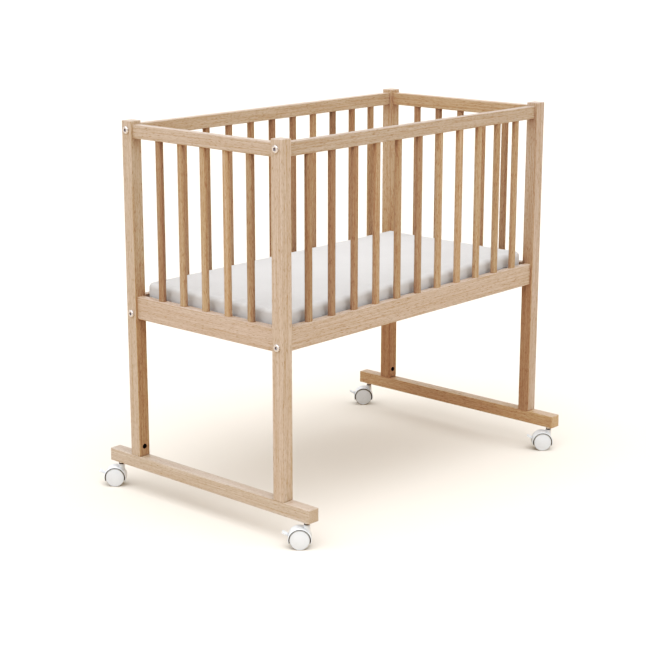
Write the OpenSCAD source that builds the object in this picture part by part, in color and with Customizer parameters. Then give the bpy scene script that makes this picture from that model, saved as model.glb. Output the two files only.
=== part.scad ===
// Slatted bassinet on two castered foot beams, in millimetres.
// +X runs to the right end, +Y to the back and +Z up. The floor is z = 0.

/* [Frame] */
// Length over the posts, along X
crib_l = 860; // [852:1:1000]
// Width over the posts, along Y
crib_w = 452; // [440:1:560]
// Side of the square posts and foot beams
post = 28; // [26:0.5:32]
// Length of a post, from the foot beam to its top
post_l = 721; // [700:1:760]
// Length of a foot beam, along Y
beam_l = 590; // [570:1:700]
// Radius that eases the edges of posts, beams and rails
ease = 1.5; // [1:0.5:2]

/* [Rails] */
// Thickness of the rails at the two ends
end_rail_t = 18; // [17:0.5:20]
// Thickness of the rails along the front and back
side_rail_t = 16; // [15:0.5:20]
// Height of the top rails
top_rail_h = 28; // [26:0.5:32]
// Drop from a post's top to the top rails
top_drop = 7.5; // [4:0.5:12]
// Height of the bottom rails
bottom_rail_h = 48; // [46:0.5:56]
// Drop from a post's top to the bottom rails
bottom_drop = 369; // [340:1:390]

/* [Slats] */
// Width of a guard slat, along its rail
slat_w = 16; // [14:0.5:20]
// Thickness of a guard slat
slat_t = 12; // [12:0.5:13]
// Radius of a guard slat's corners
slat_r = 5; // [3:0.5:5.5]
// Slats in the front and in the back
side_slats = 11; // [9:2:13]
// Pitch of the front and back slats
side_pitch = 68; // [50:0.5:68]
// Slats in each end
end_slats = 5; // [3:2:5]
// Pitch of the end slats
end_pitch = 64.5; // [50:0.5:66]

/* [Bed] */
// Length of the mattress
mattress_l = 804; // [760:2:808]
// Width of the mattress
mattress_w = 400; // [380:5:402]
// Thickness of the mattress
mattress_t = 50; // [45:1:60]
// Height that the mattress stands above the bottom rails
mattress_rise = 28; // [20:1:35]
// Cross slats under the mattress
base_slats_n = 9; // [7:2:9]
// Width of a cross slat
base_slat_w = 50; // [40:1:60]
// Thickness of a cross slat
base_slat_t = 10; // [8:0.5:12]
// Pitch of the cross slats
base_pitch = 85; // [70:1:88]

/* [Casters] */
// Radius of a wheel
wheel_r = 20.5; // [20:0.5:21]
// Distance from the swivel axis back to the wheels' axle
trail = 14; // [13:0.5:15]
// Height of the foot beams above the floor
caster_h = 57; // [56:0.5:60]
// Distance from a beam's end to the swivel axis
caster_inset = 19; // [17:0.5:24]
// Direction in which the casters trail, from +X towards +Y
trail_angle = 132; // [110:1:160]
// Angle of a released brake pedal above level
pedal_angle = 27; // [24:1:30]

/* [Hidden] */
$fn = 64;
slop = 0.05;

// Heights
beam_top = caster_h + post;
frame_top = beam_top + post_l;
top_rail_z = frame_top - top_drop - top_rail_h;
bottom_rail_top = frame_top - bottom_drop;
bottom_rail_z = bottom_rail_top - bottom_rail_h;
mattress_z = bottom_rail_top + mattress_rise - mattress_t;
bed_clear = 0.3;
ledge_z = mattress_z - base_slat_t - bed_clear;

// Places of posts and rails about the crib's own centre
post_x = (crib_l - post) / 2;
post_y = (crib_w - post) / 2;
end_rail_l = crib_w - 2 * post;
side_rail_l = crib_l - 2 * post;
side_rail_in = post_y - side_rail_t / 2;

// Guard slats
tenon_r = 4.5;
tenon_l = 10;

// Ledges under the cross slats
ledge = 15;
ledge_l = 2 * (post_x - post / 2) - 84;
base_gap = 0.5;
screw_r = 1.7;
screw_head_r = 3.8;
ledge_screws_n = 4;
ledge_screw_pitch = 200;
screw_in_rail = 10;

// Joints of the frame
bolt_r = 3;
bolt_hole_r = 3.3;
bolt_head_r = 7.5;
bolt_head_h = 3.5;
upper_bolt_z = frame_top - 19;
lower_bolt_z = frame_top - 406;
nut_r = 5;
nut_l = 12;
nut_in = 33;
foot_nut_z = beam_top + 21;
foot_head_r = 6.5;
foot_head_h = 5;
dowel_r = 4;
pin_r = 3;
dowel_in_post = 9.5;
dowel_in_rail = 20;
small_dowel_offset = 8.5;

// Casters
swivel_y = beam_l / 2 - caster_inset;
web_t = 14;
wheel_in = 7.4;
wheel_out = 14.6;
cap_rise = 1.4;
cap_r = 17.2;
hood_r = 24;
pocket_r = 22;
hood_w = 28;
hood_low = wheel_r - 8;
boss_r = 6.7;
boss_top = caster_h - 8;
stem_r = 4;
stem_low = 31;
axle_r = 2;
axle_l = 25;
socket_r = 6;
socket_l = 22;
pivot_x = trail + 13;
pivot_z = wheel_r + 2.5;
pivot_r = 1.5;
lever_w = 8.2;
slot_w = 8.8;
pedal_w = 15;
pedal_l = 24.5;

// Where the crib's own centre stands. The pedals of the trailed casters widen the resting box
// towards the back left, and the origin is the middle of that box.
centre = [9.9, -10.7, 0];

wood = "burlywood";
white = "white";
steel = "silver";

// ---- Shared shapes ----

// Rectangle about the origin with round corners
module rounded_rect(w, h, r) {
    square([w - 2 * r, h], center = true);
    square([w, h - 2 * r], center = true);
    for (i = [-1, 1], j = [-1, 1])
        translate([i * (w / 2 - r), j * (h / 2 - r)]) circle(r);
}

// Bar about the origin along Z, with its four long edges eased
module bar(w, d, l) {
    translate([0, 0, -l / 2]) linear_extrude(l) rounded_rect(w, d, ease);
}

// Block about the origin with all its edges eased
module eased_block(w, d, h) {
    intersection() {
        bar(w, d, h);
        rotate([0, 90, 0]) bar(h, d, w);
        rotate([90, 0, 0]) bar(w, h, d);
    }
}

// Cylinder about the origin along X
module x_rod(r, l) {
    rotate([0, 90, 0]) cylinder(h = l, r = r, center = true);
}

// Cylinder about the origin along Y
module y_rod(r, l) {
    rotate([90, 0, 0]) cylinder(h = l, r = r, center = true);
}

// Positions that a row of n things takes about its middle
function row(n, pitch) = [for (i = [0:n - 1]) (i - (n - 1) / 2) * pitch];

// The heights in a list that lie between z and z + h
function within(heights, z, h) = [for (a = heights) if (a > z && a < z + h) a];

// Heights of the two dowels in each end rail
end_dowel_z = [
    top_rail_z + 6.5, top_rail_z + top_rail_h - 6.5,
    bottom_rail_z + 12, bottom_rail_top - 12
];
// Heights of the small dowel beside each side rail's bolt
side_dowel_z = [top_rail_z + 5.5, bottom_rail_top - 12];
bolt_z = [upper_bolt_z, lower_bolt_z];

// Places the crib so that its resting box is centred on the origin
module placed() {
    translate(centre) children();
}

// ---- Frame ----

module post(sx, sy) {
    in_x = sx * (post_x - post / 2);
    in_y = sy * (post_y - post / 2);
    color(wood) difference() {
        translate([sx * post_x, sy * post_y, beam_top + post_l / 2]) eased_block(post, post, post_l);
        for (z = bolt_z) translate([sx * post_x, sy * post_y, z]) x_rod(bolt_hole_r, post + 2);
        for (z = side_dowel_z) translate([in_x, sy * post_y, z]) x_rod(pin_r + slop, 2 * dowel_in_post + 1);
        for (z = end_dowel_z) translate([sx * post_x, in_y, z]) y_rod(dowel_r + slop, 2 * dowel_in_post + 1);
        translate([sx * post_x, in_y, foot_nut_z]) y_rod(nut_r + slop, 2 * 21);
        translate([sx * post_x, sy * post_y, beam_top - 1]) cylinder(h = 35, r = bolt_hole_r);
        translate([sx * post_x, sy * (post_y + small_dowel_offset), beam_top - 1])
            cylinder(h = 14, r = pin_r + slop);
    }
}

module foot_beam(sx) {
    color(wood) difference() {
        translate([sx * post_x, 0, caster_h + post / 2]) eased_block(post, beam_l, post);
        for (sy = [-1, 1]) {
            translate([sx * post_x, sy * swivel_y, caster_h - 1])
                cylinder(h = socket_l + 2, r = socket_r + slop);
            translate([sx * post_x, sy * post_y, caster_h - 1]) {
                cylinder(h = post + 2, r = bolt_hole_r);
                cylinder(h = foot_head_h + 3, r = foot_head_r + 0.5);
            }
            translate([sx * post_x, sy * (post_y + small_dowel_offset), beam_top - 13])
                cylinder(h = 14, r = pin_r + slop);
        }
    }
}

module end_rail(sx, z, h) {
    color(wood) difference() {
        translate([sx * post_x, 0, z + h / 2]) rotate([90, 0, 0]) bar(end_rail_t, h, end_rail_l);
        for (sy = [-1, 1], dz = within(end_dowel_z, z, h))
            translate([sx * post_x, sy * end_rail_l / 2, dz]) y_rod(dowel_r + slop, 2 * dowel_in_rail + 1);
        for (y = row(end_slats, end_pitch)) tenon_hole(sx * post_x, y, z);
    }
}

module side_rail(sy, z, h) {
    color(wood) difference() {
        translate([0, sy * post_y, z + h / 2]) rotate([0, 90, 0]) bar(h, side_rail_t, side_rail_l);
        for (sx = [-1, 1]) {
            for (bz = within(bolt_z, z, h)) {
                translate([sx * side_rail_l / 2, sy * post_y, bz]) x_rod(bolt_hole_r, 90);
                translate([sx * (side_rail_l / 2 - nut_in), sy * post_y, z - 1])
                    cylinder(h = bz - z + nut_l / 2 + 1.3, r = nut_r + slop);
            }
            for (dz = within(side_dowel_z, z, h))
                translate([sx * side_rail_l / 2, sy * post_y, dz]) x_rod(pin_r + slop, 2 * dowel_in_rail + 1);
        }
        for (x = row(side_slats, side_pitch)) tenon_hole(x, sy * post_y, z);
        for (sz = within([ledge_z - ledge / 2], z, h), x = row(ledge_screws_n, ledge_screw_pitch))
            translate([x, sy * side_rail_in, sz]) y_rod(screw_r + slop, 2 * (screw_in_rail + 1));
    }
}

// Hole for a slat's tenon, in the underside of a top rail or the top of a bottom rail at height z
module tenon_hole(x, y, z) {
    translate([x, y, z == top_rail_z ? z - 1 : bottom_rail_top - tenon_l])
        cylinder(h = tenon_l + 1, r = tenon_r + slop);
}

// ---- Guard slats ----

module guard_slat(w, t) {
    translate([0, 0, bottom_rail_top])
        linear_extrude(top_rail_z - bottom_rail_top) rounded_rect(w, t, slat_r);
    translate([0, 0, bottom_rail_top - tenon_l + 0.5])
        cylinder(h = top_rail_z - bottom_rail_top + 2 * tenon_l - 1, r = tenon_r);
}

module side_slats(sy) {
    color(wood) for (x = row(side_slats, side_pitch))
        translate([x, sy * post_y, 0]) guard_slat(slat_w, slat_t);
}

module end_slats(sx) {
    color(wood) for (y = row(end_slats, end_pitch))
        translate([sx * post_x, y, 0]) guard_slat(slat_t, slat_w);
}

// ---- Bed base and mattress ----

module side_ledge(sy) {
    color(wood) difference() {
        translate([0, sy * (side_rail_in - ledge / 2), ledge_z - ledge / 2])
            rotate([0, 90, 0]) bar(ledge, ledge, ledge_l);
        for (x = row(ledge_screws_n, ledge_screw_pitch))
            translate([x, sy * (side_rail_in - ledge), ledge_z - ledge / 2]) {
                y_rod(screw_r + slop, 3 * ledge);
                y_rod(screw_head_r + 0.2, 5);
            }
        for (x = row(base_slats_n, base_pitch))
            translate([x, sy * (side_rail_in - ledge / 2), ledge_z - 10])
                cylinder(h = 11, r = screw_r + slop);
    }
}

module base_slats() {
    color(wood) for (x = row(base_slats_n, base_pitch)) difference() {
        translate([x, 0, ledge_z + base_slat_t / 2])
            rotate([90, 0, 0]) bar(base_slat_w, base_slat_t, 2 * (side_rail_in - base_gap));
        for (sy = [-1, 1]) translate([x, sy * (side_rail_in - ledge / 2), ledge_z - 1]) {
            cylinder(h = base_slat_t + 2, r = screw_r + slop);
            translate([0, 0, base_slat_t - 1.5]) cylinder(h = 4, r = screw_head_r + 0.2);
        }
    }
}

module mattress() {
    corner = 18;
    edge = 8;
    color(white) translate([0, 0, mattress_z]) intersection() {
        linear_extrude(mattress_t) rounded_rect(mattress_l, mattress_w, corner);
        translate([0, 0, mattress_t / 2]) rotate([0, 90, 0]) linear_extrude(mattress_l, center = true)
            rounded_rect(mattress_t, mattress_w, edge);
        translate([0, 0, mattress_t / 2]) rotate([90, 0, 0]) linear_extrude(mattress_w, center = true)
            rounded_rect(mattress_l, mattress_t, edge);
    }
}

// ---- Fasteners ----

// Round head with a hexagonal socket, on a shank that runs down along -Z
module bolt(head_r, head_h, shank_l) {
    difference() {
        union() {
            cylinder(h = head_h - 1, r = head_r);
            translate([0, 0, head_h - 1]) cylinder(h = 1, r1 = head_r, r2 = head_r - 1.2);
            translate([0, 0, -shank_l]) cylinder(h = shank_l + 1, r = bolt_r);
        }
        translate([0, 0, head_h - 2.6]) cylinder(h = 3, r = 3.6, $fn = 6);
    }
}

module rail_bolts() {
    color(steel) for (sx = [-1, 1], sy = [-1, 1], z = bolt_z)
        translate([sx * crib_l / 2, sy * post_y, z]) rotate([0, sx * 90, 0])
            bolt(bolt_head_r, bolt_head_h, post + nut_in + 7);
}

module rail_barrel_nuts() {
    color(steel) for (sx = [-1, 1], sy = [-1, 1], z = bolt_z)
        translate([sx * (side_rail_l / 2 - nut_in), sy * post_y, z]) difference() {
            cylinder(h = nut_l, r = nut_r, center = true);
            x_rod(bolt_r + slop, 3 * nut_r);
        }
}

module foot_bolts() {
    color(steel) for (sx = [-1, 1], sy = [-1, 1])
        translate([sx * post_x, sy * post_y, caster_h + foot_head_h + 2]) rotate([180, 0, 0])
            bolt(foot_head_r, foot_head_h, foot_nut_z - caster_h);
}

module foot_barrel_nuts() {
    color(steel) for (sx = [-1, 1], sy = [-1, 1])
        translate([sx * post_x, sy * post_y, foot_nut_z]) difference() {
            y_rod(nut_r, nut_l);
            cylinder(h = 3 * nut_r, r = bolt_r + slop, center = true);
        }
}

module dowels() {
    shift = (dowel_in_rail - dowel_in_post) / 2;
    length = dowel_in_rail + dowel_in_post;
    color(wood) for (sx = [-1, 1], sy = [-1, 1]) {
        for (z = end_dowel_z)
            translate([sx * post_x, sy * (end_rail_l / 2 - shift), z]) y_rod(dowel_r, length);
        for (z = side_dowel_z)
            translate([sx * (side_rail_l / 2 - shift), sy * post_y, z]) x_rod(pin_r, length);
        translate([sx * post_x, sy * (post_y + small_dowel_offset), beam_top - 12])
            cylinder(h = 24, r = pin_r);
    }
}

// Flat-topped screw that runs down along -Z from the top of its head
module wood_screw(l) {
    difference() {
        union() {
            translate([0, 0, -l]) cylinder(h = l, r = screw_r);
            translate([0, 0, -2]) cylinder(h = 2, r1 = screw_r, r2 = screw_head_r);
        }
        translate([0, 0, -1.2]) cylinder(h = 2, r = 1.8, $fn = 6);
    }
}

module ledge_screws() {
    color(steel) for (sy = [-1, 1], x = row(ledge_screws_n, ledge_screw_pitch))
        translate([x, sy * (side_rail_in - ledge + 0.5), ledge_z - ledge / 2]) rotate([sy * 90, 0, 0])
            wood_screw(ledge + screw_in_rail - 0.5);
}

module base_slat_screws() {
    color(steel) for (sy = [-1, 1], x = row(base_slats_n, base_pitch))
        translate([x, sy * (side_rail_in - ledge / 2), ledge_z + base_slat_t - 0.5]) wood_screw(18);
}

// ---- Casters ----

// Places one caster's piece at its corner, trailed, with the swivel axis as its local Z
module at_caster(sx, sy) {
    translate([sx * post_x, sy * swivel_y, 0]) rotate([0, 0, trail_angle]) children();
}

// Places a shape about the wheels' axle
module on_axle() {
    translate([trail, 0, wheel_r]) children();
}

module caster_sockets() {
    color(steel) for (sx = [-1, 1], sy = [-1, 1])
        translate([sx * post_x, sy * swivel_y, caster_h]) difference() {
            cylinder(h = socket_l, r = socket_r);
            translate([0, 0, -1]) cylinder(h = socket_l + 2, r = stem_r + slop);
        }
}

module caster_stem(sx, sy) {
    color(steel) at_caster(sx, sy) {
        translate([0, 0, stem_low]) cylinder(h = caster_h + socket_l - 2 - stem_low, r = stem_r);
        translate([0, 0, stem_low + 3]) cylinder(h = 2, r = stem_r + 0.6);
        translate([0, 0, boss_top + 0.4]) cylinder(h = 2.8, r = 5.7);
        translate([0, 0, boss_top + 0.4]) cylinder(h = caster_h - boss_top - 0.4, r = 5);
    }
}

module caster_hood(sx, sy) {
    side = (hood_w - web_t) / 2 + 5;
    color(white) at_caster(sx, sy) difference() {
        union() {
            intersection() {
                on_axle() rotate([90, 0, 0]) rotate_extrude() hood_profile();
                translate([-40, -40, hood_low]) cube([100, 80, 60]);
            }
            on_axle() y_rod(9, web_t);
            translate([0, 0, wheel_r + 4]) cylinder(h = boss_top - wheel_r - 5, r = boss_r);
            translate([0, 0, boss_top - 1]) cylinder(h = 1, r1 = boss_r, r2 = boss_r - 1);
        }
        for (s = [-1, 1])
            on_axle() translate([0, s * (web_t + side) / 2, 0]) y_rod(pocket_r, side);
        translate([0, 0, stem_low - 0.5]) cylinder(h = 40, r = stem_r + slop);
        translate([0, 0, stem_low + 2.8]) cylinder(h = 2.4, r = stem_r + 0.75);
        on_axle() y_rod(axle_r + 0.02, web_t + 2);
        translate([trail + 6, -slot_w / 2, hood_low - 10]) cube([40, slot_w, 29]);
        translate([pivot_x, 0, pivot_z]) y_rod(pivot_r + 0.02, web_t + 2);
    }
}

// Half section of the hood's barrel, radius along X and width along Y
module hood_profile() {
    shoulder = 2.5;
    translate([0, -hood_w / 2]) square([hood_r - shoulder, hood_w]);
    translate([0, shoulder - hood_w / 2]) square([hood_r, hood_w - 2 * shoulder]);
    for (s = [-1, 1]) translate([hood_r - shoulder, s * (hood_w / 2 - shoulder)]) circle(shoulder);
}

module caster_axle(sx, sy) {
    color(steel) at_caster(sx, sy) on_axle() y_rod(axle_r, axle_l);
}

// Half section of a wheel, radius along X and the axle along Y, inner side down
module wheel_profile() {
    tread = 1.3;
    dome_r = (cap_r * cap_r + cap_rise * cap_rise) / (2 * cap_rise);
    difference() {
        union() {
            translate([0, wheel_in]) square([wheel_r - tread, wheel_out - wheel_in]);
            translate([0, wheel_in + tread]) square([wheel_r, wheel_out - wheel_in - 2 * tread]);
            for (y = [wheel_in + tread, wheel_out - tread]) translate([wheel_r - tread, y]) circle(tread);
            intersection() {
                translate([0, wheel_out + cap_rise - dome_r]) circle(dome_r, $fn = 256);
                translate([0, wheel_out - 1]) square([cap_r, cap_rise + 1]);
            }
        }
        translate([0, wheel_in - 1]) square([axle_r + 0.06, 6.8]);
        translate([6, wheel_in - 1]) square([10.5, 5.8]);
        translate([cap_r, wheel_out - 0.5]) square([0.7, 1]);
    }
}

// side is 1 for the wheel that faces along the axle, -1 for the other
module caster_wheel(sx, sy, side) {
    color(white) at_caster(sx, sy) on_axle() rotate([-90 * side, 0, 0])
        rotate_extrude() wheel_profile();
}

module caster_brake_pin(sx, sy) {
    color(steel) at_caster(sx, sy) translate([pivot_x, 0, pivot_z]) y_rod(pivot_r, web_t - 0.4);
}

module caster_brake_lever(sx, sy) {
    plate = 2.8;
    plate_from = 13.5;
    corner = 3.5;
    color(white) at_caster(sx, sy) translate([pivot_x, 0, pivot_z]) rotate([0, -pedal_angle, 0])
        difference() {
            union() {
                y_rod(3.6, lever_w);
                translate([0, -lever_w / 2, -1.6]) cube([plate_from + 2, lever_w, 3.2]);
                translate([-4.5, -lever_w / 2, -5.5]) cube([4.5, lever_w, 5.5]);
                translate([(plate_from + pedal_l) / 2, 0, -plate / 2]) linear_extrude(plate)
                    rounded_rect(pedal_l - plate_from, pedal_w, corner);
                translate([pedal_l - 4, 0, plate / 2]) y_rod(1, pedal_w - 2 * corner);
            }
            y_rod(pivot_r + slop, lever_w + 2);
        }
}

placed() post(-1, -1);  // front_left_post
placed() post(1, -1);  // front_right_post
placed() post(-1, 1);  // back_left_post
placed() post(1, 1);  // back_right_post
placed() foot_beam(-1);  // left_foot_beam
placed() foot_beam(1);  // right_foot_beam
placed() end_rail(-1, top_rail_z, top_rail_h);  // left_top_rail
placed() end_rail(-1, bottom_rail_z, bottom_rail_h);  // left_bottom_rail
placed() end_rail(1, top_rail_z, top_rail_h);  // right_top_rail
placed() end_rail(1, bottom_rail_z, bottom_rail_h);  // right_bottom_rail
placed() side_rail(-1, top_rail_z, top_rail_h);  // front_top_rail
placed() side_rail(-1, bottom_rail_z, bottom_rail_h);  // front_bottom_rail
placed() side_rail(1, top_rail_z, top_rail_h);  // back_top_rail
placed() side_rail(1, bottom_rail_z, bottom_rail_h);  // back_bottom_rail
placed() side_slats(-1);  // front_slats
placed() side_slats(1);  // back_slats
placed() end_slats(-1);  // left_end_slats
placed() end_slats(1);  // right_end_slats
placed() side_ledge(-1);  // front_ledge
placed() side_ledge(1);  // back_ledge
placed() base_slats();
placed() mattress();
placed() rail_bolts();
placed() rail_barrel_nuts();
placed() foot_bolts();
placed() foot_barrel_nuts();
placed() dowels();
placed() ledge_screws();
placed() base_slat_screws();
placed() caster_sockets();
placed() caster_stem(-1, -1);  // front_left_stem
placed() caster_hood(-1, -1);  // front_left_hood
placed() caster_axle(-1, -1);  // front_left_axle
placed() caster_wheel(-1, -1, 1);  // front_left_near_wheel
placed() caster_wheel(-1, -1, -1);  // front_left_far_wheel
placed() caster_brake_pin(-1, -1);  // front_left_brake_pin
placed() caster_brake_lever(-1, -1);  // front_left_brake_lever
placed() caster_stem(1, -1);  // front_right_stem
placed() caster_hood(1, -1);  // front_right_hood
placed() caster_axle(1, -1);  // front_right_axle
placed() caster_wheel(1, -1, 1);  // front_right_near_wheel
placed() caster_wheel(1, -1, -1);  // front_right_far_wheel
placed() caster_brake_pin(1, -1);  // front_right_brake_pin
placed() caster_brake_lever(1, -1);  // front_right_brake_lever
placed() caster_stem(-1, 1);  // back_left_stem
placed() caster_hood(-1, 1);  // back_left_hood
placed() caster_axle(-1, 1);  // back_left_axle
placed() caster_wheel(-1, 1, 1);  // back_left_near_wheel
placed() caster_wheel(-1, 1, -1);  // back_left_far_wheel
placed() caster_brake_pin(-1, 1);  // back_left_brake_pin
placed() caster_brake_lever(-1, 1);  // back_left_brake_lever
placed() caster_stem(1, 1);  // back_right_stem
placed() caster_hood(1, 1);  // back_right_hood
placed() caster_axle(1, 1);  // back_right_axle
placed() caster_wheel(1, 1, 1);  // back_right_near_wheel
placed() caster_wheel(1, 1, -1);  // back_right_far_wheel
placed() caster_brake_pin(1, 1);  // back_right_brake_pin
placed() caster_brake_lever(1, 1);  // back_right_brake_lever
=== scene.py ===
"""Looks for a slatted bassinet on two castered foot beams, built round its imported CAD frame."""

import math

import bmesh
import bpy
from mathutils import Euler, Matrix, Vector, noise
from mathutils.bvhtree import BVHTree


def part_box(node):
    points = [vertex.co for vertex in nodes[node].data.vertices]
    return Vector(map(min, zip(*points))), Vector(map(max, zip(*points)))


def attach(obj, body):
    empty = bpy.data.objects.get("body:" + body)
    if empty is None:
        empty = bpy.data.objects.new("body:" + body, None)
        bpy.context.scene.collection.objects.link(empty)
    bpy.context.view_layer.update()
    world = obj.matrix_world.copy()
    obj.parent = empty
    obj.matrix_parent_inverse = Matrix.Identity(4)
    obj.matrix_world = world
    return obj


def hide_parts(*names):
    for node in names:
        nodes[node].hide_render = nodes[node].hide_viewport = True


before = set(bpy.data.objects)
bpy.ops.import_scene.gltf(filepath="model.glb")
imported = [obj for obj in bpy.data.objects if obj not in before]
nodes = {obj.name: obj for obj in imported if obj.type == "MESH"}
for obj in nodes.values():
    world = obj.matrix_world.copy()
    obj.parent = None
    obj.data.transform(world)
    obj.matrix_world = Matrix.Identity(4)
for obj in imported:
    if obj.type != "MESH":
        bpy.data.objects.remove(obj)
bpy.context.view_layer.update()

# How wide the line between two colours is, and a length too short to have a direction
SHARP = 0.0001
SOFT = 0.0002
TINY = 1e-9

CORNERS = ("front_left", "front_right", "back_left", "back_right")
ENDS = ("left", "right")
SIDES = ("front", "back")


def middle_and_half(name):
    """The middle of a CAD node's box, and half its size."""
    low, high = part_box(name)
    return (low + high) / 2, (high - low) / 2


# ---- Camera ----

# Metres from the crib's own centre line, which the trailed casters leave a little off the origin
CAMERA_OFFSET = Vector((-2.639, -2.333))
CAMERA_HEIGHT = 1.214
CAMERA_PITCH = -14.08
CAMERA_YAW = -47.9
CAMERA_LENS = 90.5


def add_camera():
    """A long lens at the photograph's viewing angle."""
    centre = (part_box("front_left_post")[0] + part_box("back_right_post")[1]) / 2
    data = bpy.data.cameras.new("camera")
    data.lens = CAMERA_LENS
    data.sensor_width = 36
    data.clip_end = 200
    camera = bpy.data.objects.new("camera", data)
    camera.location = (centre.x + CAMERA_OFFSET.x, centre.y + CAMERA_OFFSET.y, CAMERA_HEIGHT)
    camera.rotation_euler = Euler((math.radians(90 + CAMERA_PITCH), 0, math.radians(CAMERA_YAW)))
    bpy.context.scene.collection.objects.link(camera)
    bpy.context.scene.camera = camera


# ---- Node trees ----


class Shader:
    """A material under construction. Its methods add nodes, and most return the last one's output."""

    def __init__(self, name):
        self.material = bpy.data.materials.new(name)
        self.material.use_nodes = True
        self.tree = self.material.node_tree
        self.tree.nodes.clear()

    def add(self, kind, inputs, **settings):
        node = self.tree.nodes.new("ShaderNode" + kind)
        for key, value in settings.items():
            setattr(node, key, value)
        for key, value in inputs.items():
            if isinstance(value, bpy.types.NodeSocket):
                self.tree.links.new(value, node.inputs[key])
            else:
                node.inputs[key].default_value = value
        return node

    def math(self, operation, *values):
        return self.add("Math", dict(enumerate(values)), operation=operation).outputs[0]

    def total(self, *values):
        result = values[0]
        for value in values[1:]:
            result = self.math("ADD", result, value)
        return result

    def vector(self, operation, a, b):
        return self.add("VectorMath", {0: a, 1: b}, operation=operation).outputs[0]

    def length(self, vector):
        return self.add("VectorMath", {0: vector}, operation="LENGTH").outputs["Value"]

    def dot(self, a, b):
        return self.add("VectorMath", {0: a, 1: b}, operation="DOT_PRODUCT").outputs["Value"]

    def place(self):
        return self.add("TexCoord", {}).outputs["Object"]

    def split(self, vector):
        return list(self.add("SeparateXYZ", {0: vector}).outputs)

    def join(self, x, y, z):
        return self.add("CombineXYZ", {0: x, 1: y, 2: z}).outputs[0]

    def noise(self, vector, scale=1.0, detail=2.0, roughness=0.5):
        inputs = {"Vector": vector, "Scale": scale, "Detail": detail, "Roughness": roughness}
        return self.add("TexNoise", inputs).outputs[0]

    def chance(self, number):
        """A colour of three random values that depends on one number."""
        return self.add("TexWhiteNoise", {"W": number}, noise_dimensions="1D").outputs["Color"]

    def step(self, value, low, high, to_low=0.0, to_high=1.0):
        """A smooth step from to_low to to_high as value goes from low to high."""
        inputs = {"Value": value, "From Min": low, "From Max": high, "To Min": to_low, "To Max": to_high}
        return self.add("MapRange", inputs, interpolation_type="SMOOTHSTEP").outputs[0]

    def between(self, value, low, high):
        """value, from 0 to 1, carried to low to high."""
        return self.add("MapRange", {"Value": value, "To Min": low, "To Max": high}).outputs[0]

    def blend(self, factor, a, b, how="MIX"):
        node = self.add("Mix", {0: factor}, data_type="RGBA", blend_type=how)
        for key, value in ((6, a), (7, b)):
            if isinstance(value, bpy.types.NodeSocket):
                self.tree.links.new(value, node.inputs[key])
            else:
                node.inputs[key].default_value = (*value, 1)
        return node.outputs[2]

    def bump(self, height, distance, strength=1.0):
        inputs = {"Height": height, "Distance": distance, "Strength": strength}
        return self.add("Bump", inputs).outputs[0]

    def finish(self, inputs):
        surface = self.add("BsdfPrincipled", inputs).outputs[0]
        self.add("OutputMaterial", {"Surface": surface})
        return self.material


def paint(name, material):
    """Gives a CAD node one material."""
    slots = nodes[name].material_slots
    for slot in slots:
        slot.material = material
    if not slots:
        nodes[name].data.materials.append(material)


# ---- Wood ----

# The beech's own colours, and how much lighter, darker, yellower or pinker one board is than the next
BEECH_LIGHT = (0.583, 0.522, 0.478)
BEECH_DARK = (0.385, 0.282, 0.214)
BEECH_PORE = (0.19, 0.11, 0.062)
YELLOW_BAR = (1.0, 0.99, 0.95)
PINK_BAR = (1.0, 0.95, 0.92)
BAR_SHADES = (0.94, 1.03)
ROW_SHADES = (0.74, 1.10)
# Growth rings, in metres: their width, how far away the pith lies, and how they wander and taper
RING_WIDTH = 0.0046
PITH_NEAR = 0.035
PITH_FAR = 0.11
RING_WANDER = 0.018
RING_TAPER = 0.008
# Noise in the grain, as its scales across and along the fibres
BEND = (11, 0.9)
CLOUD = (32, 1.6)
STREAK = (620, 6)
FIBRE = (1300, 50)
DASH = (700, 110)
PORE = (1000, 90)
# How much of a darker colour late wood and each of them adds
LATE_SHARE = 0.16
STREAK_SHARE = 0.44
FIBRE_SHARE = 0.26
CLOUD_SHARE = 0.12
DASH_SHARE = 0.26
PORE_SHARE = 0.55
# The lacquer's roughness, how much more there is in a pore, and the depth of the relief in metres
LACQUER = (0.34, 0.46)
PORE_ROUGHNESS = 0.15
GRAIN_DEPTH = 0.00012
# Painted shade on the posts' inner faces: its tint and depth, the heights from a post's middle between which
# it fades, and how much is left above them
INNER_FACE_SHADE = (0.86, 0.78, 0.67)
INNER_SHADE_SKIN = 0.0012
INNER_SHADE_LOW = -0.1
INNER_SHADE_HIGH = 0.27
INNER_SHADE_LEFT = 0.2
# The tint of each piece that differs from the rest: part stain from board to board, part painted shade
NO_TINT = (1, 1, 1)
STAINS_AND_PAINTED_SHADE = {
    "front_slats": (0.84, 0.76, 0.68),
    "back_slats": (0.75, 0.66, 0.56),
    "left_end_slats": (0.84, 0.76, 0.68),
    "right_end_slats": (0.80, 0.71, 0.62),
    "front_top_rail": (0.88, 0.87, 0.87),
    "back_top_rail": (0.95, 0.92, 0.88),
    "right_top_rail": (0.88, 0.81, 0.72),
    "right_foot_beam": (1.02, 0.93, 0.82),
    "front_right_post": (0.91, 0.91, 0.93),
    "back_right_post": (0.95, 0.92, 0.88),
}
# Painted shade inside the blind holes low in the posts: its colour and radius, and how far past a post's
# middle it ends, so that the outer face stays clear
HOLE_PAINTED_SHADE = (0.035, 0.02, 0.012)
HOLE_RADIUS = 0.0053
HOLE_END = (0.0125, 0.013)
# Which coordinates run across, over and along the fibres
GRAIN_ORDER = {"X": (1, 2, 0), "Y": (0, 2, 1), "Z": (0, 1, 2)}


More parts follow.
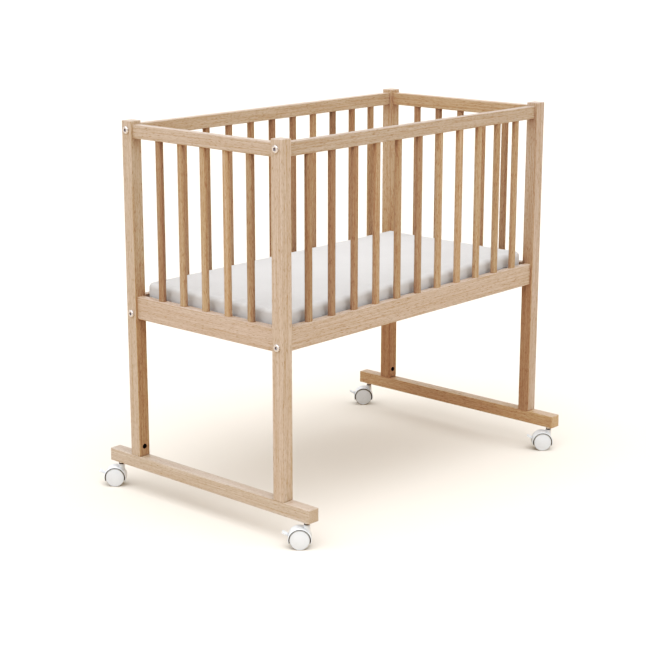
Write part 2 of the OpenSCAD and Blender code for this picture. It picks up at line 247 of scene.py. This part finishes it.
def inside_hole(shader, spot, height, side):
    """1 inside a round blind hole along Y. side is 1 or -1, and the hole's mouth is on the other face."""
    away = shader.join(spot[0], 0.0, shader.math("SUBTRACT", spot[2], height))
    reach = shader.length(away)
    within = shader.step(reach, HOLE_RADIUS - SHARP, HOLE_RADIUS, 1.0, 0.0)
    depth = shader.math("MULTIPLY", spot[1], side)
    return shader.math("MULTIPLY", within, shader.step(depth, *HOLE_END, 1.0, 0.0))


def beech(name, grain, centre, seed, row=None, hole=None, inward=(), stain_and_shade=NO_TINT):
    """Clear lacquered beech for a straight bar, or for a row of them, whose fibres run along the axis grain.

    Growth rings are cylinders about a pith line outside the bar, so they show as arcs on its ends and as
    streaks and arches along it. row is the axis and the pitch of a row of bars: each gets its own rings.
    hole is a height and a side: the inside of a post's blind hole there gets painted shade. inward lists the
    faces that get painted shade, less towards the top, as an axis and a distance from the middle. The last
    argument
    tints the whole piece: part stain from board to board, part painted shade."""
    shader = Shader(name)
    spot = shader.split(shader.vector("SUBTRACT", shader.place(), centre))
    bar = float(seed)
    if row:
        axis, pitch = row
        place_in_row = shader.math("ROUND", shader.math("DIVIDE", spot[axis], pitch))
        spot[axis] = shader.math("SUBTRACT", spot[axis], shader.math("MULTIPLY", place_in_row, pitch))
        bar = shader.math("ADD", place_in_row, bar)
    chance = shader.chance(bar)
    turn, reach, tone = shader.split(chance)
    across, over, along = (spot[i] for i in GRAIN_ORDER[grain])

    def stretched(cross_scale, along_scale):
        """Bar coordinates scaled across and along the fibres, moved by chance so that no two bars agree."""
        scaled = shader.join(
            shader.math("MULTIPLY", across, cross_scale),
            shader.math("MULTIPLY", over, cross_scale),
            shader.math("MULTIPLY", along, along_scale),
        )
        return shader.vector("ADD", scaled, shader.vector("MULTIPLY", chance, (91, 67, 53)))

    angle = shader.math("MULTIPLY", turn, math.tau)
    distance = shader.between(reach, PITH_NEAR, PITH_FAR)
    pith_across = shader.math("MULTIPLY", shader.math("COSINE", angle), distance)
    pith_over = shader.math("MULTIPLY", shader.math("SINE", angle), distance)
    radial = shader.join(
        shader.math("SUBTRACT", across, pith_across), shader.math("SUBTRACT", over, pith_over), 0.0
    )
    radius = shader.length(radial)
    wander = shader.math("MULTIPLY", shader.noise(stretched(*BEND)), RING_WANDER)
    taper = shader.math("MULTIPLY", along, RING_TAPER)
    ring = shader.math("DIVIDE", shader.total(radius, wander, taper), RING_WIDTH)
    phase = shader.math("FRACT", ring)
    ring_chance = shader.split(shader.chance(shader.math("FLOOR", ring)))[0]
    late = shader.math(
        "MULTIPLY", shader.step(phase, 0.3, 0.9), shader.step(phase, 0.93, 1.0, 1.0, 0.0)
    )
    late = shader.math("MULTIPLY", late, shader.between(ring_chance, 0.25, 1.0))

    streak = shader.noise(stretched(*STREAK), roughness=0.55)
    fibre = shader.noise(stretched(*FIBRE), roughness=0.6)
    cloud = shader.noise(stretched(*CLOUD))
    dash = shader.step(shader.noise(stretched(*DASH), detail=1.0), 0.56, 0.68)
    pore = shader.step(shader.noise(stretched(*PORE), detail=1.0), 0.58, 0.70)
    pore = shader.math("MULTIPLY", pore, shader.between(late, 1.0, 0.5))

    darkness = shader.total(
        shader.math("MULTIPLY", late, LATE_SHARE),
        shader.step(streak, 0.34, 0.66, 0.0, STREAK_SHARE),
        shader.step(fibre, 0.35, 0.70, 0.0, FIBRE_SHARE),
        shader.step(cloud, 0.3, 0.72, 0.0, CLOUD_SHARE),
        shader.math("MULTIPLY", dash, DASH_SHARE),
    )
    colour = shader.blend(darkness, BEECH_LIGHT, BEECH_DARK)
    colour = shader.blend(shader.math("MULTIPLY", pore, PORE_SHARE), colour, BEECH_PORE)
    colour = shader.blend(1.0, colour, shader.blend(tone, YELLOW_BAR, PINK_BAR), "MULTIPLY")
    shade = shader.split(shader.chance(shader.math("ADD", bar, 0.5)))[1]
    shade = shader.between(shade, *(ROW_SHADES if row else BAR_SHADES))
    colour = shader.blend(1.0, colour, shader.join(shade, shade, shade), "MULTIPLY")

    # Painted shade on the post's inner faces, fading towards the top
    for axis, distance in inward:
        reach = shader.math("MULTIPLY", spot[axis], math.copysign(1.0, distance))
        inner_shade = shader.step(reach, abs(distance) - INNER_SHADE_SKIN, abs(distance))
        inner_shade = shader.math("MULTIPLY", inner_shade, shader.step(along, INNER_SHADE_LOW, INNER_SHADE_HIGH, 1.0, INNER_SHADE_LEFT))
        colour = shader.blend(inner_shade, colour, shader.blend(1.0, colour, INNER_FACE_SHADE, "MULTIPLY"))
    # The piece's tint: part stain from board to board, part painted shade
    colour = shader.blend(1.0, colour, stain_and_shade, "MULTIPLY")
    # Painted shade inside the post's blind hole
    if hole:
        colour = shader.blend(inside_hole(shader, spot, *hole), colour, HOLE_PAINTED_SHADE)
    height = shader.total(
        shader.math("MULTIPLY", pore, -0.7),
        shader.math("MULTIPLY", late, -0.25),
        shader.math("MULTIPLY", fibre, 0.5),
    )
    return shader.finish(
        {
            "Base Color": colour,
            "Roughness": shader.math(
                "ADD", shader.between(fibre, *LACQUER), shader.math("MULTIPLY", pore, PORE_ROUGHNESS)
            ),
            "Specular IOR Level": 0.5,
            "Normal": shader.bump(height, GRAIN_DEPTH),
        }
    )


# A post's middle to just under its face, and the spacing of the slats in each row
POST_FACE = 0.0137
SIDE_PITCH = 0.068
END_PITCH = 0.0645
BASE_PITCH = 0.085
# The first piece's seed and the step to the next, for single bars and for rows of them
BAR_SEED, BAR_SEED_STEP = 100, 7
ROW_SEED, ROW_SEED_STEP = 300, 40


def paint_wood():
    """Every wooden CAD node gets its own cut of beech, with the fibres along the piece."""
    along_z = [f"{corner}_post" for corner in CORNERS]
    along_y = [f"{end}_foot_beam" for end in ENDS]
    along_y += [f"{end}_{level}_rail" for end in ENDS for level in ("top", "bottom")]
    along_x = [f"{side}_{part}" for side in SIDES for part in ("top_rail", "bottom_rail", "ledge")]
    rows = {f"{side}_slats": (0, SIDE_PITCH, "Z") for side in SIDES}
    rows.update({f"{end}_end_slats": (1, END_PITCH, "Z") for end in ENDS})
    rows["base_slats"] = (0, BASE_PITCH, "Y")
    bars = [(name, "Z") for name in along_z] + [(name, "Y") for name in along_y]
    bars += [(name, "X") for name in along_x] + [("dowels", "Z")]
    nut_height = middle_and_half("foot_barrel_nuts")[0].z
    for index, (name, grain) in enumerate(bars):
        middle = middle_and_half(name)[0]
        side = 1.0 if name.startswith("back") else -1.0
        hole, inward = None, ()
        if name.endswith("post"):
            hole = (nut_height - middle.z, side)
            inward = ((0, -POST_FACE if "right" in name else POST_FACE), (1, -POST_FACE * side))
        seed = BAR_SEED + BAR_SEED_STEP * index
        # The piece's tint: part stain from board to board, part painted shade
        stain_and_shade = STAINS_AND_PAINTED_SHADE.get(name, NO_TINT)
        paint(name, beech(name, grain, middle, seed, hole=hole, inward=inward, stain_and_shade=stain_and_shade))
    for index, (name, (axis, pitch, grain)) in enumerate(rows.items()):
        middle = middle_and_half(name)[0]
        seed = ROW_SEED + ROW_SEED_STEP * index
        stain_and_shade = STAINS_AND_PAINTED_SHADE.get(name, NO_TINT)
        paint(name, beech(name, grain, middle, seed, (axis, pitch), stain_and_shade=stain_and_shade))


# ---- Metal and plastic ----

# Colours and roughness
CHROME_BOLT = (0.80, 0.80, 0.83)
CHROME_STEM = (0.70, 0.71, 0.73)
ZINC = (0.56, 0.57, 0.60)
BLACK_OXIDE = (0.045, 0.042, 0.04)
# Painted dark reflection at the stems' necks
NECK_PAINTED_REFLECTION = (0.10, 0.10, 0.105)
# Painted shade in the bolts' sockets
SOCKET_PAINTED_SHADE = (0.50, 0.49, 0.53)
HOOD_WHITE = (0.74, 0.79, 0.845)
WHEEL_WHITE = (0.71, 0.765, 0.83)
TREAD_GREY = (0.42, 0.43, 0.44)
# Painted shade in the housings' wheel pockets
POCKET_PAINTED_SHADE = (0.03, 0.03, 0.032)
CHROME_ROUGHNESS = 0.14
BOLT_ROUGHNESS = 0.26
ZINC_ROUGHNESS = 0.34
BLACK_ROUGHNESS = 0.45
HOOD_ROUGHNESS = 0.34
WHEEL_ROUGHNESS = 0.28
# The depth of scratches and of the mould's texture, in metres
SURFACE_DEPTH = 0.00002

# Shapes that the materials follow: the direction of the casters' axles in degrees, then metres
AXLE_ANGLE = 42
POCKET_RADIUS = 0.0223
WHEEL_TREAD = 0.0192
WEB_SIDE = 0.0069
NECK_RING = 0.0515
BOLT_HEAD = 0.0075
SOCKET_RADIUS = 0.0038


def plated_steel(shader, colour, roughness, scratches, dark=None, dark_colour=NECK_PAINTED_REFLECTION):
    """Plated metal, faintly cloudy, with fine scratches. dark, from 0 to 1, is where dark_colour shows."""
    place = shader.place()
    cloud = shader.noise(place, 160, 3.0, 0.6)
    scratch = shader.noise(shader.vector("MULTIPLY", place, (2600, 2600, 240)))
    tint = shader.blend(shader.step(cloud, 0.3, 0.8, 0.0, 0.25), colour, tuple(0.8 * c for c in colour))
    shine = shader.between(cloud, roughness * 0.7, roughness * 1.4)
    if dark is not None:
        tint = shader.blend(dark, tint, dark_colour)
        shine = shader.math("MAXIMUM", shine, shader.math("MULTIPLY", dark, 0.6))
    return shader.finish(
        {
            "Base Color": tint,
            "Metallic": 1.0,
            "Roughness": shine,
            "Normal": shader.bump(scratch, SURFACE_DEPTH * scratches),
        }
    )


def moulded_plastic(shader, colour, roughness, dark=None, dark_colour=POCKET_PAINTED_SHADE):
    """White plastic with a very fine mould texture. dark, from 0 to 1, is where dark_colour shows."""
    place = shader.place()
    cloud = shader.noise(place, 90)
    grain = shader.noise(place, 2400)
    tint = shader.blend(shader.step(cloud, 0.3, 0.8, 0.0, 0.5), colour, tuple(0.94 * c for c in colour))
    if dark is not None:
        tint = shader.blend(dark, tint, dark_colour)
    return shader.finish(
        {
            "Base Color": tint,
            "Roughness": shader.between(cloud, roughness * 0.85, roughness * 1.25),
            "IOR": 1.5,
            "Coat Weight": 0.25,
            "Coat Roughness": 0.12,
            "Normal": shader.bump(grain, SURFACE_DEPTH),
        }
    )


def about_axle(shader, corner):
    """Distance from a caster's axle line, and the distance along it from the caster's middle."""
    away = shader.vector("SUBTRACT", shader.place(), middle_and_half(f"{corner}_axle")[0])
    turn = math.radians(AXLE_ANGLE)
    line = (math.cos(turn), math.sin(turn), 0)
    along = shader.dot(away, line)
    nearest = shader.vector("MULTIPLY", shader.join(along, along, along), line)
    across = shader.vector("SUBTRACT", away, nearest)
    reach = shader.length(across)
    return reach, shader.math("ABSOLUTE", along)


def paint_bolts():
    """Chrome bolt heads with painted shade inside their hexagonal sockets."""
    shader = Shader("rail_bolt_chrome")
    middle, half = middle_and_half("rail_bolts")
    _, y, z = shader.split(shader.vector("SUBTRACT", shader.place(), middle))
    across = shader.math("SUBTRACT", shader.math("ABSOLUTE", y), half.y - BOLT_HEAD)
    up = shader.math("SUBTRACT", shader.math("ABSOLUTE", z), half.z - BOLT_HEAD)
    reach = shader.length(shader.join(0.0, across, up))
    # Painted shade inside the sockets
    dark = shader.step(reach, SOCKET_RADIUS - SOFT, SOCKET_RADIUS, 1.0, 0.0)
    paint("rail_bolts", plated_steel(shader, CHROME_BOLT, BOLT_ROUGHNESS, 0.5, dark, SOCKET_PAINTED_SHADE))


def paint_casters(dull):
    """Chrome stems with a painted reflection at the neck, white housings with painted shade inside, wheels
    with grey treads.
    """
    for corner in CORNERS:
        shader = Shader(f"{corner}_stem_chrome")
        z = shader.split(shader.place())[2]
        # A painted dark reflection on the stem below the neck's height
        ring = shader.step(z, NECK_RING - SOFT, NECK_RING, 1.0, 0.0)
        paint(f"{corner}_stem", plated_steel(shader, CHROME_STEM, CHROME_ROUGHNESS, 0.5, ring))
        paint(f"{corner}_axle", dull)
        paint(f"{corner}_brake_pin", dull)

        shader = Shader(f"{corner}_housing")
        reach, along = about_axle(shader, corner)
        # Painted shade inside the housing's wheel pockets
        pocket = shader.math(
            "MULTIPLY",
            shader.step(reach, POCKET_RADIUS - SHARP, POCKET_RADIUS, 1.0, 0.0),
            shader.step(along, WEB_SIDE - SHARP, WEB_SIDE),
        )
        paint(f"{corner}_hood", moulded_plastic(shader, HOOD_WHITE, HOOD_ROUGHNESS, pocket))
        pedal = moulded_plastic(Shader(f"{corner}_pedal"), HOOD_WHITE, HOOD_ROUGHNESS)
        paint(f"{corner}_brake_lever", pedal)

        shader = Shader(f"{corner}_wheel_plastic")
        reach, along = about_axle(shader, corner)
        tread = shader.step(reach, WHEEL_TREAD - 2 * SOFT, WHEEL_TREAD + 2 * SOFT)
        wheel = moulded_plastic(shader, WHEEL_WHITE, WHEEL_ROUGHNESS, tread, TREAD_GREY)
        for side in ("near", "far"):
            paint(f"{corner}_{side}_wheel", wheel)


def paint_hardware():
    """Every metal and plastic CAD node gets its finish."""
    dull = plated_steel(Shader("zinc_steel"), ZINC, ZINC_ROUGHNESS, 1.0)
    for name in ("rail_barrel_nuts", "foot_bolts", "ledge_screws", "base_slat_screws", "caster_sockets"):
        paint(name, dull)
    black = plated_steel(Shader("black_steel"), BLACK_OXIDE, BLACK_ROUGHNESS, 1.0)
    paint("foot_barrel_nuts", black)
    paint_bolts()
    paint_casters(dull)


# ---- Mattress ----

# The cotton's colours, the pitch of its threads and the depth of its weave
COTTON_LIGHT = (0.60, 0.614, 0.638)
COTTON_SHADE = (0.575, 0.588, 0.612)
COTTON_SLUB = (0.505, 0.505, 0.505)
THREAD = 0.0009
COTTON_DEPTH = 0.0005

# The cover before it swells: its roundings, how much smaller than the CAD solid it is, and its grid
MATTRESS_CORNER = 0.013
MATTRESS_EDGE = 0.011
MATTRESS_SLACK = Vector((0.0015, 0.0015, 0.0005))
MATTRESS_CELL = 0.011
EDGE_CUTS = (0.0018, 0.004, 0.0065, 0.0095, 0.0135, 0.0185, 0.025)

# How it swells: the height below which it is held, and the most that it moves up and out
BED_CONTACT = 0.004
SWELL_UP = 0.0035
SWELL_OUT = 0.0018
PRESSURE = 4.0
CLOTH_FRAMES = 20

# Soft creases: their depth, how far inward they lie, where they start and the size of the folds
CREASE = 0.0007
CREASE_INWARD = 0.6
CREASE_FROM = 0.006
CREASE_RISE = 0.02
BROAD_FOLDS = Vector((30, 30, 14))
FINE_FOLDS = Vector((75, 75, 25))

# The seam: its height, how far out the rays start that find the cover there, and its welt
SEAM_RISE = 0.013
RAY_START = 0.1
WELT_RADIUS = 0.0014
WELT_STEP = 0.006
WELT_SIDES = 8
# Its stitches, whose shape is places along, depths sunk and shares of the radius
STITCH_RISE = 0.0035
STITCH_PITCH = 0.0042
STITCH_LENGTH = 0.0027
STITCH_RADIUS = 0.00045
STITCH_SIDES = 6
STITCH_SHAPE = ((-0.5, 0.9, 0.6), (-0.3, 0.1, 1.0), (0.3, 0.1, 1.0), (0.5, 0.9, 0.6))


def cotton(name):
    """Smooth off-white cotton: a fine plain weave, thread by thread, under soft uneven creases."""
    shader = Shader(name)
    place = shader.place()
    x, y, z = shader.split(place)
    warp = shader.math("SINE", shader.math("MULTIPLY", shader.math("ADD", x, z), math.tau / THREAD))
    weft = shader.math("SINE", shader.math("MULTIPLY", shader.math("SUBTRACT", y, z), math.tau / THREAD))
    weave = shader.math("MULTIPLY", warp, weft)
    slub = shader.noise(shader.vector("MULTIPLY", place, (1400, 90, 90)))
    soft = shader.noise(place, 9, 3.0)
    colour = shader.blend(shader.step(soft, 0.3, 0.75), COTTON_LIGHT, COTTON_SHADE)
    colour = shader.blend(shader.step(slub, 0.45, 0.8, 0.0, 0.12), colour, COTTON_SLUB)
    height = shader.total(
        shader.math("MULTIPLY", weave, 0.10),
        shader.math("MULTIPLY", slub, 0.3),
        shader.math("MULTIPLY", soft, 3.0),
    )
    return shader.finish(
        {
            "Base Color": colour,
            "Roughness": shader.between(slub, 0.82, 0.95),
            "Specular IOR Level": 0.2,
            "Sheen Weight": 0.25,
            "Sheen Roughness": 0.5,
            "Normal": shader.bump(height, COTTON_DEPTH),
        }
    )


def cuts_along(half):
    """Where the mattress's grid is cut along one side, closer together near both ends."""
    inner = [half - cut for cut in EDGE_CUTS if cut < half * 0.8]
    span = 2 * inner[-1]
    count = max(1, round(span / MATTRESS_CELL))
    middle = [-inner[-1] + span * step / count for step in range(count + 1)]
    return sorted({round(value, 6) for value in middle + inner + [-value for value in inner]})


def rounded(point, half):
    """Pulls a point of a sharp box in to the box's rounded plan corners and rounded long edges."""
    plan = Vector((point.x, point.y))
    inner = Vector((half.x - MATTRESS_CORNER, half.y - MATTRESS_CORNER))
    held = Vector((max(-inner.x, min(inner.x, plan.x)), max(-inner.y, min(inner.y, plan.y))))
    out = plan - held
    reach = max(abs(out.x), abs(out.y))
    if reach < TINY:
        return point
    out = out.normalized()
    depth = MATTRESS_CORNER - reach
    side = Vector((MATTRESS_EDGE - depth, MATTRESS_EDGE - (half.z - abs(point.z))))
    height = point.z
    if side.x > 0 and side.y > 0:
        arc = side.normalized() * max(side.x, side.y)
        reach = MATTRESS_CORNER - MATTRESS_EDGE + arc.x
        height = math.copysign(half.z - MATTRESS_EDGE + arc.y, point.z)
    plan = held + out * reach
    return Vector((plan.x, plan.y, height))


def mattress_mesh():
    """The mattress cover as one closed sheet of quads, before it swells."""
    centre, half = middle_and_half("mattress")
    half -= MATTRESS_SLACK
    mesh = bmesh.new()
    bmesh.ops.create_cube(mesh, size=2)
    for vert in mesh.verts:
        vert.co = Vector((vert.co[i] * half[i] for i in range(3)))
    for axis in range(3):
        for cut in cuts_along(half[axis]):
            spot = Vector((0, 0, 0))
            spot[axis] = cut
            normal = Vector((0, 0, 0))
            normal[axis] = 1
            everything = mesh.verts[:] + mesh.edges[:] + mesh.faces[:]
            bmesh.ops.bisect_plane(mesh, geom=everything, plane_co=spot, plane_no=normal)
    for vert in mesh.verts:
        vert.co = rounded(vert.co.copy(), half) + centre
    data = bpy.data.meshes.new("mattress_cover")
    mesh.to_mesh(data)
    mesh.free()
    return data


def soft_limit(value, limit):
    """value, bent over smoothly so that it never passes limit."""
    return limit * math.tanh(value / limit)


def swell(mattress):
    """Blows the cover up as cloth under pressure, with its underside held on the bed base.

    The sheet's movement is kept to a few millimetres up and out, as foam inside it would."""
    data = mattress.data
    floor_z = min(vert.co.z for vert in data.vertices)
    start = [vert.co.copy() for vert in data.vertices]
    held = mattress.vertex_groups.new(name="held")
    held.add([vert.index for vert in data.vertices if vert.co.z < floor_z + BED_CONTACT], 1.0, "REPLACE")
    modifier = mattress.modifiers.new("cloth", "CLOTH")
    settings = modifier.settings
    settings.quality = 6
    settings.mass = 0.3
    settings.tension_stiffness = 25
    settings.compression_stiffness = 25
    settings.shear_stiffness = 10
    settings.bending_stiffness = 2
    settings.air_damping = 3
    settings.use_pressure = True
    settings.uniform_pressure_force = PRESSURE
    settings.vertex_group_mass = "held"
    settings.effector_weights.gravity = 0
    modifier.point_cache.frame_start = 1
    modifier.point_cache.frame_end = CLOTH_FRAMES
    scene = bpy.context.scene
    for step in range(1, CLOTH_FRAMES + 1):
        scene.frame_set(step)
    blown = mattress.evaluated_get(bpy.context.evaluated_depsgraph_get()).data
    moves = [blown.vertices[i].co - start[i] for i in range(len(start))]
    mattress.modifiers.remove(modifier)
    mattress.vertex_groups.remove(held)
    scene.frame_set(1)
    for vert, origin, move in zip(data.vertices, start, moves):
        out = Vector((move.x, move.y, 0))
        if out.length > TINY:
            out *= soft_limit(out.length, SWELL_OUT) / out.length
        up = soft_limit(max(0.0, move.z), SWELL_UP)
        vert.co = origin + Vector((out.x, out.y, up))


def crease(data):
    """Moves the cover up to about 1.2 mm in and 0.4 mm out, in soft uneven folds above its underside."""
    floor_z = min(vert.co.z for vert in data.vertices)
    normals = [vert.normal.copy() for vert in data.vertices]
    for vert, normal in zip(data.vertices, normals):
        fold = noise.noise(vert.co * BROAD_FOLDS) + 0.5 * noise.noise(vert.co * FINE_FOLDS)
        fade = min(1.0, max(0.0, (vert.co.z - floor_z - CREASE_FROM) / CREASE_RISE))
        vert.co += normal * CREASE * fade * (fold - CREASE_INWARD)


def round_the_side(mattress, height, step):
    """Points on the cover's side, all the way round at one height, each with its outward direction."""
    centre, half = middle_and_half("mattress")
    graph = bpy.context.evaluated_depsgraph_get()
    tree = BVHTree.FromObject(mattress.evaluated_get(graph), graph)
    x, y = half.x - MATTRESS_CORNER, half.y - MATTRESS_CORNER
    arc = MATTRESS_CORNER * math.pi / 2
    # Each side's length, where it starts, and the turn of its outward direction
    sides = (
        (2 * y, (x, -y), 0.0),
        (2 * x, (x, y), math.pi / 2),
        (2 * y, (-x, y), math.pi),
        (2 * x, (-x, -y), math.pi * 3 / 2),
    )
    total = sum(length + arc for length, _, _ in sides)
    count = round(total / step)
    ring = []
    for index in range(count):
        along = total * index / count
        for length, first, turn in sides:
            if along < length + arc:
                break
            along -= length + arc
        out = Vector((math.cos(turn), math.sin(turn), 0))
        base = Vector((*first, 0)) + Vector((-out.y, out.x, 0)) * min(along, length)
        if along > length:
            turn += (along - length) / MATTRESS_CORNER
            out = Vector((math.cos(turn), math.sin(turn), 0))
        start = Vector((centre.x, centre.y, height)) + base + out * RAY_START
        ring.append((tree.ray_cast(start, -out)[0], out))
    return ring


def tube(mesh, path, radii, sides, closed):
    """Adds a tube to mesh along path, a list of points each with a direction across the tube.

    closed joins its two ends, and an open tube gets an end face at each."""
    rings = []
    count = len(path)
    for index, (spot, outward) in enumerate(path):
        before = path[index - 1 if closed or index else 0][0]
        after = path[(index + 1) % count if closed else min(index + 1, count - 1)][0]
        over = (after - before).normalized().cross(outward).normalized()
        ring = []
        for corner in range(sides):
            turn = math.tau * corner / sides
            across = math.cos(turn) * outward + math.sin(turn) * over
            ring.append(mesh.verts.new(spot + radii[index] * across))
        rings.append(ring)
    for index in range(count if closed else count - 1):
        first, second = rings[index], rings[(index + 1) % count]
        for corner in range(sides):
            other = (corner + 1) % sides
            mesh.faces.new((first[corner], first[other], second[other], second[corner]))
    if not closed:
        mesh.faces.new(rings[0][::-1])
        mesh.faces.new(rings[-1])


def add_trim(name, mesh, material):
    """Makes a piece of the mattress's trim from a mesh under construction."""
    bmesh.ops.recalc_face_normals(mesh, faces=mesh.faces)
    data = bpy.data.meshes.new(name)
    mesh.to_mesh(data)
    mesh.free()
    for polygon in data.polygons:
        polygon.use_smooth = True
    data.materials.append(material)
    trim = bpy.data.objects.new(name, data)
    bpy.context.scene.collection.objects.link(trim)
    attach(trim, "mattress")


def add_seam(mattress):
    """The cover's seam, low on its sides: a thin welt with a row of stitches over it."""
    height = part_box("mattress")[0].z + SEAM_RISE
    mesh = bmesh.new()
    path = round_the_side(mattress, height, WELT_STEP)
    tube(mesh, path, [WELT_RADIUS] * len(path), WELT_SIDES, True)
    add_trim("mattress_welt", mesh, cotton("welt_cotton"))
    mesh = bmesh.new()
    ring = round_the_side(mattress, height + STITCH_RISE, STITCH_PITCH)
    for index, (spot, outward) in enumerate(ring):
        along = (ring[(index + 1) % len(ring)][0] - ring[index - 1][0]).normalized()
        path, radii = [], []
        for place, sunk, share in STITCH_SHAPE:
            path.append((spot + along * STITCH_LENGTH * place - outward * STITCH_RADIUS * sunk, outward))
            radii.append(STITCH_RADIUS * share)
        tube(mesh, path, radii, STITCH_SIDES, False)
    add_trim("mattress_stitches", mesh, cotton("stitch_thread"))


def add_mattress():
    """The mattress's cover, which replaces its CAD solid, with its seam."""
    data = mattress_mesh()
    mattress = bpy.data.objects.new("mattress_cover", data)
    bpy.context.scene.collection.objects.link(mattress)
    data.materials.append(cotton("mattress_cotton"))
    for polygon in data.polygons:
        polygon.use_smooth = True
    swell(mattress)
    crease(data)
    mattress.modifiers.new("smooth", "SUBSURF").render_levels = 1
    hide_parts("mattress")
    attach(mattress, "mattress")
    add_seam(mattress)


# ---- Stage ----

FLOOR_SIZE = 120
# The sky's colours, where its white band ends, and the slope with which the band rises beyond the crib
HORIZON = (1.25, 1.25, 1.25)
SKY = (0.385, 0.33, 0.265)
HORIZON_BAND = (0.05, 0.12)
BACKDROP_SLOPE = (-0.297, -0.3375, 1.0)
# Each light's strength, width in degrees and direction
OVERHEAD = (0.35, 100, (-0.10, -0.10, 1.0))
FROM_LEFT = (2.3, 84, (-1.0, 0.12, 1.5))
FROM_FRONT = (1.9, 84, (0.12, -1.0, 1.5))
# The floor's colour as seen, and as it lights the crib from below
FLOOR_SEEN = (0.79, 0.763, 0.718)
FLOOR_BOUNCE = (0.62, 0.53, 0.43)
# Points of the tone curve, which deepens the darkest tones
TOE = ((0.05, 0.014), (0.10, 0.040), (0.18, 0.105), (0.26, 0.20), (0.35, 0.325), (0.5, 0.5))


def add_sky():
    """A dim warm sky with a white band at the horizon, which rises into a white backdrop beyond the crib."""
    world = bpy.data.worlds.new("sky")
    world.use_nodes = True
    tree = world.node_tree
    background = tree.nodes["Background"]
    place = tree.nodes.new("ShaderNodeTexCoord")
    split = tree.nodes.new("ShaderNodeSeparateXYZ")
    rise = tree.nodes.new("ShaderNodeMapRange")
    rise.inputs["From Min"].default_value, rise.inputs["From Max"].default_value = HORIZON_BAND
    mix = tree.nodes.new("ShaderNodeMix")
    mix.data_type = "RGBA"
    mix.inputs[6].default_value = (*HORIZON, 1)
    mix.inputs[7].default_value = (*SKY, 1)
    beyond = tree.nodes.new("ShaderNodeVectorMath")
    beyond.operation = "DOT_PRODUCT"
    beyond.inputs[1].default_value = BACKDROP_SLOPE
    tree.links.new(place.outputs["Generated"], beyond.inputs[0])
    lower = tree.nodes.new("ShaderNodeMath")
    lower.operation = "MINIMUM"
    tree.links.new(place.outputs["Generated"], split.inputs[0])
    tree.links.new(split.outputs["Z"], lower.inputs[0])
    tree.links.new(beyond.outputs["Value"], lower.inputs[1])
    tree.links.new(lower.outputs[0], rise.inputs["Value"])
    tree.links.new(rise.outputs[0], mix.inputs[0])
    tree.links.new(mix.outputs[2], background.inputs["Color"])
    bpy.context.scene.world = world


def add_light(name, strength, width, towards):
    """A soft light of the given width in degrees, so far away that it is as bright everywhere."""
    light = bpy.data.lights.new(name, "SUN")
    light.energy = strength
    light.angle = math.radians(width)
    lamp = bpy.data.objects.new(name, light)
    lamp.rotation_euler = Vector(towards).to_track_quat("Z", "Y").to_euler()
    bpy.context.scene.collection.objects.link(lamp)


def add_floor():
    """A plain cream floor. It sends less light back up than it shows, so that the shade stays deep."""
    shader = Shader("floor")
    speckle = shader.noise(shader.place(), 3)
    seen = shader.blend(speckle, FLOOR_SEEN, tuple(0.985 * c for c in FLOOR_SEEN))
    direct = shader.add("LightPath", {}).outputs["Is Camera Ray"]
    tint = shader.blend(direct, FLOOR_BOUNCE, seen)
    floor_material = shader.finish({"Base Color": tint, "Roughness": 0.9, "Specular IOR Level": 0.1})
    data = bpy.data.meshes.new("floor")
    edge = FLOOR_SIZE / 2
    corners = [(-edge, -edge, 0), (edge, -edge, 0), (edge, edge, 0), (-edge, edge, 0)]
    data.from_pydata(corners, [], [(0, 1, 2, 3)])
    data.materials.append(floor_material)
    floor = bpy.data.objects.new("floor", data)
    bpy.context.scene.collection.objects.link(floor)


def add_stage():
    """A pale floor, soft light from overhead, the left and the front, a dim sky, and the tone curve's toe."""
    add_floor()
    add_sky()
    add_light("overhead", *OVERHEAD)
    add_light("from_left", *FROM_LEFT)
    add_light("from_front", *FROM_FRONT)
    view_settings = bpy.context.scene.view_settings
    view_settings.view_transform = "Standard"
    view_settings.use_curve_mapping = True
    curves = view_settings.curve_mapping
    for x, y in TOE:
        curves.curves[3].points.new(x, y)
    curves.update()


add_camera()
paint_wood()
paint_hardware()
add_mattress()
add_stage()
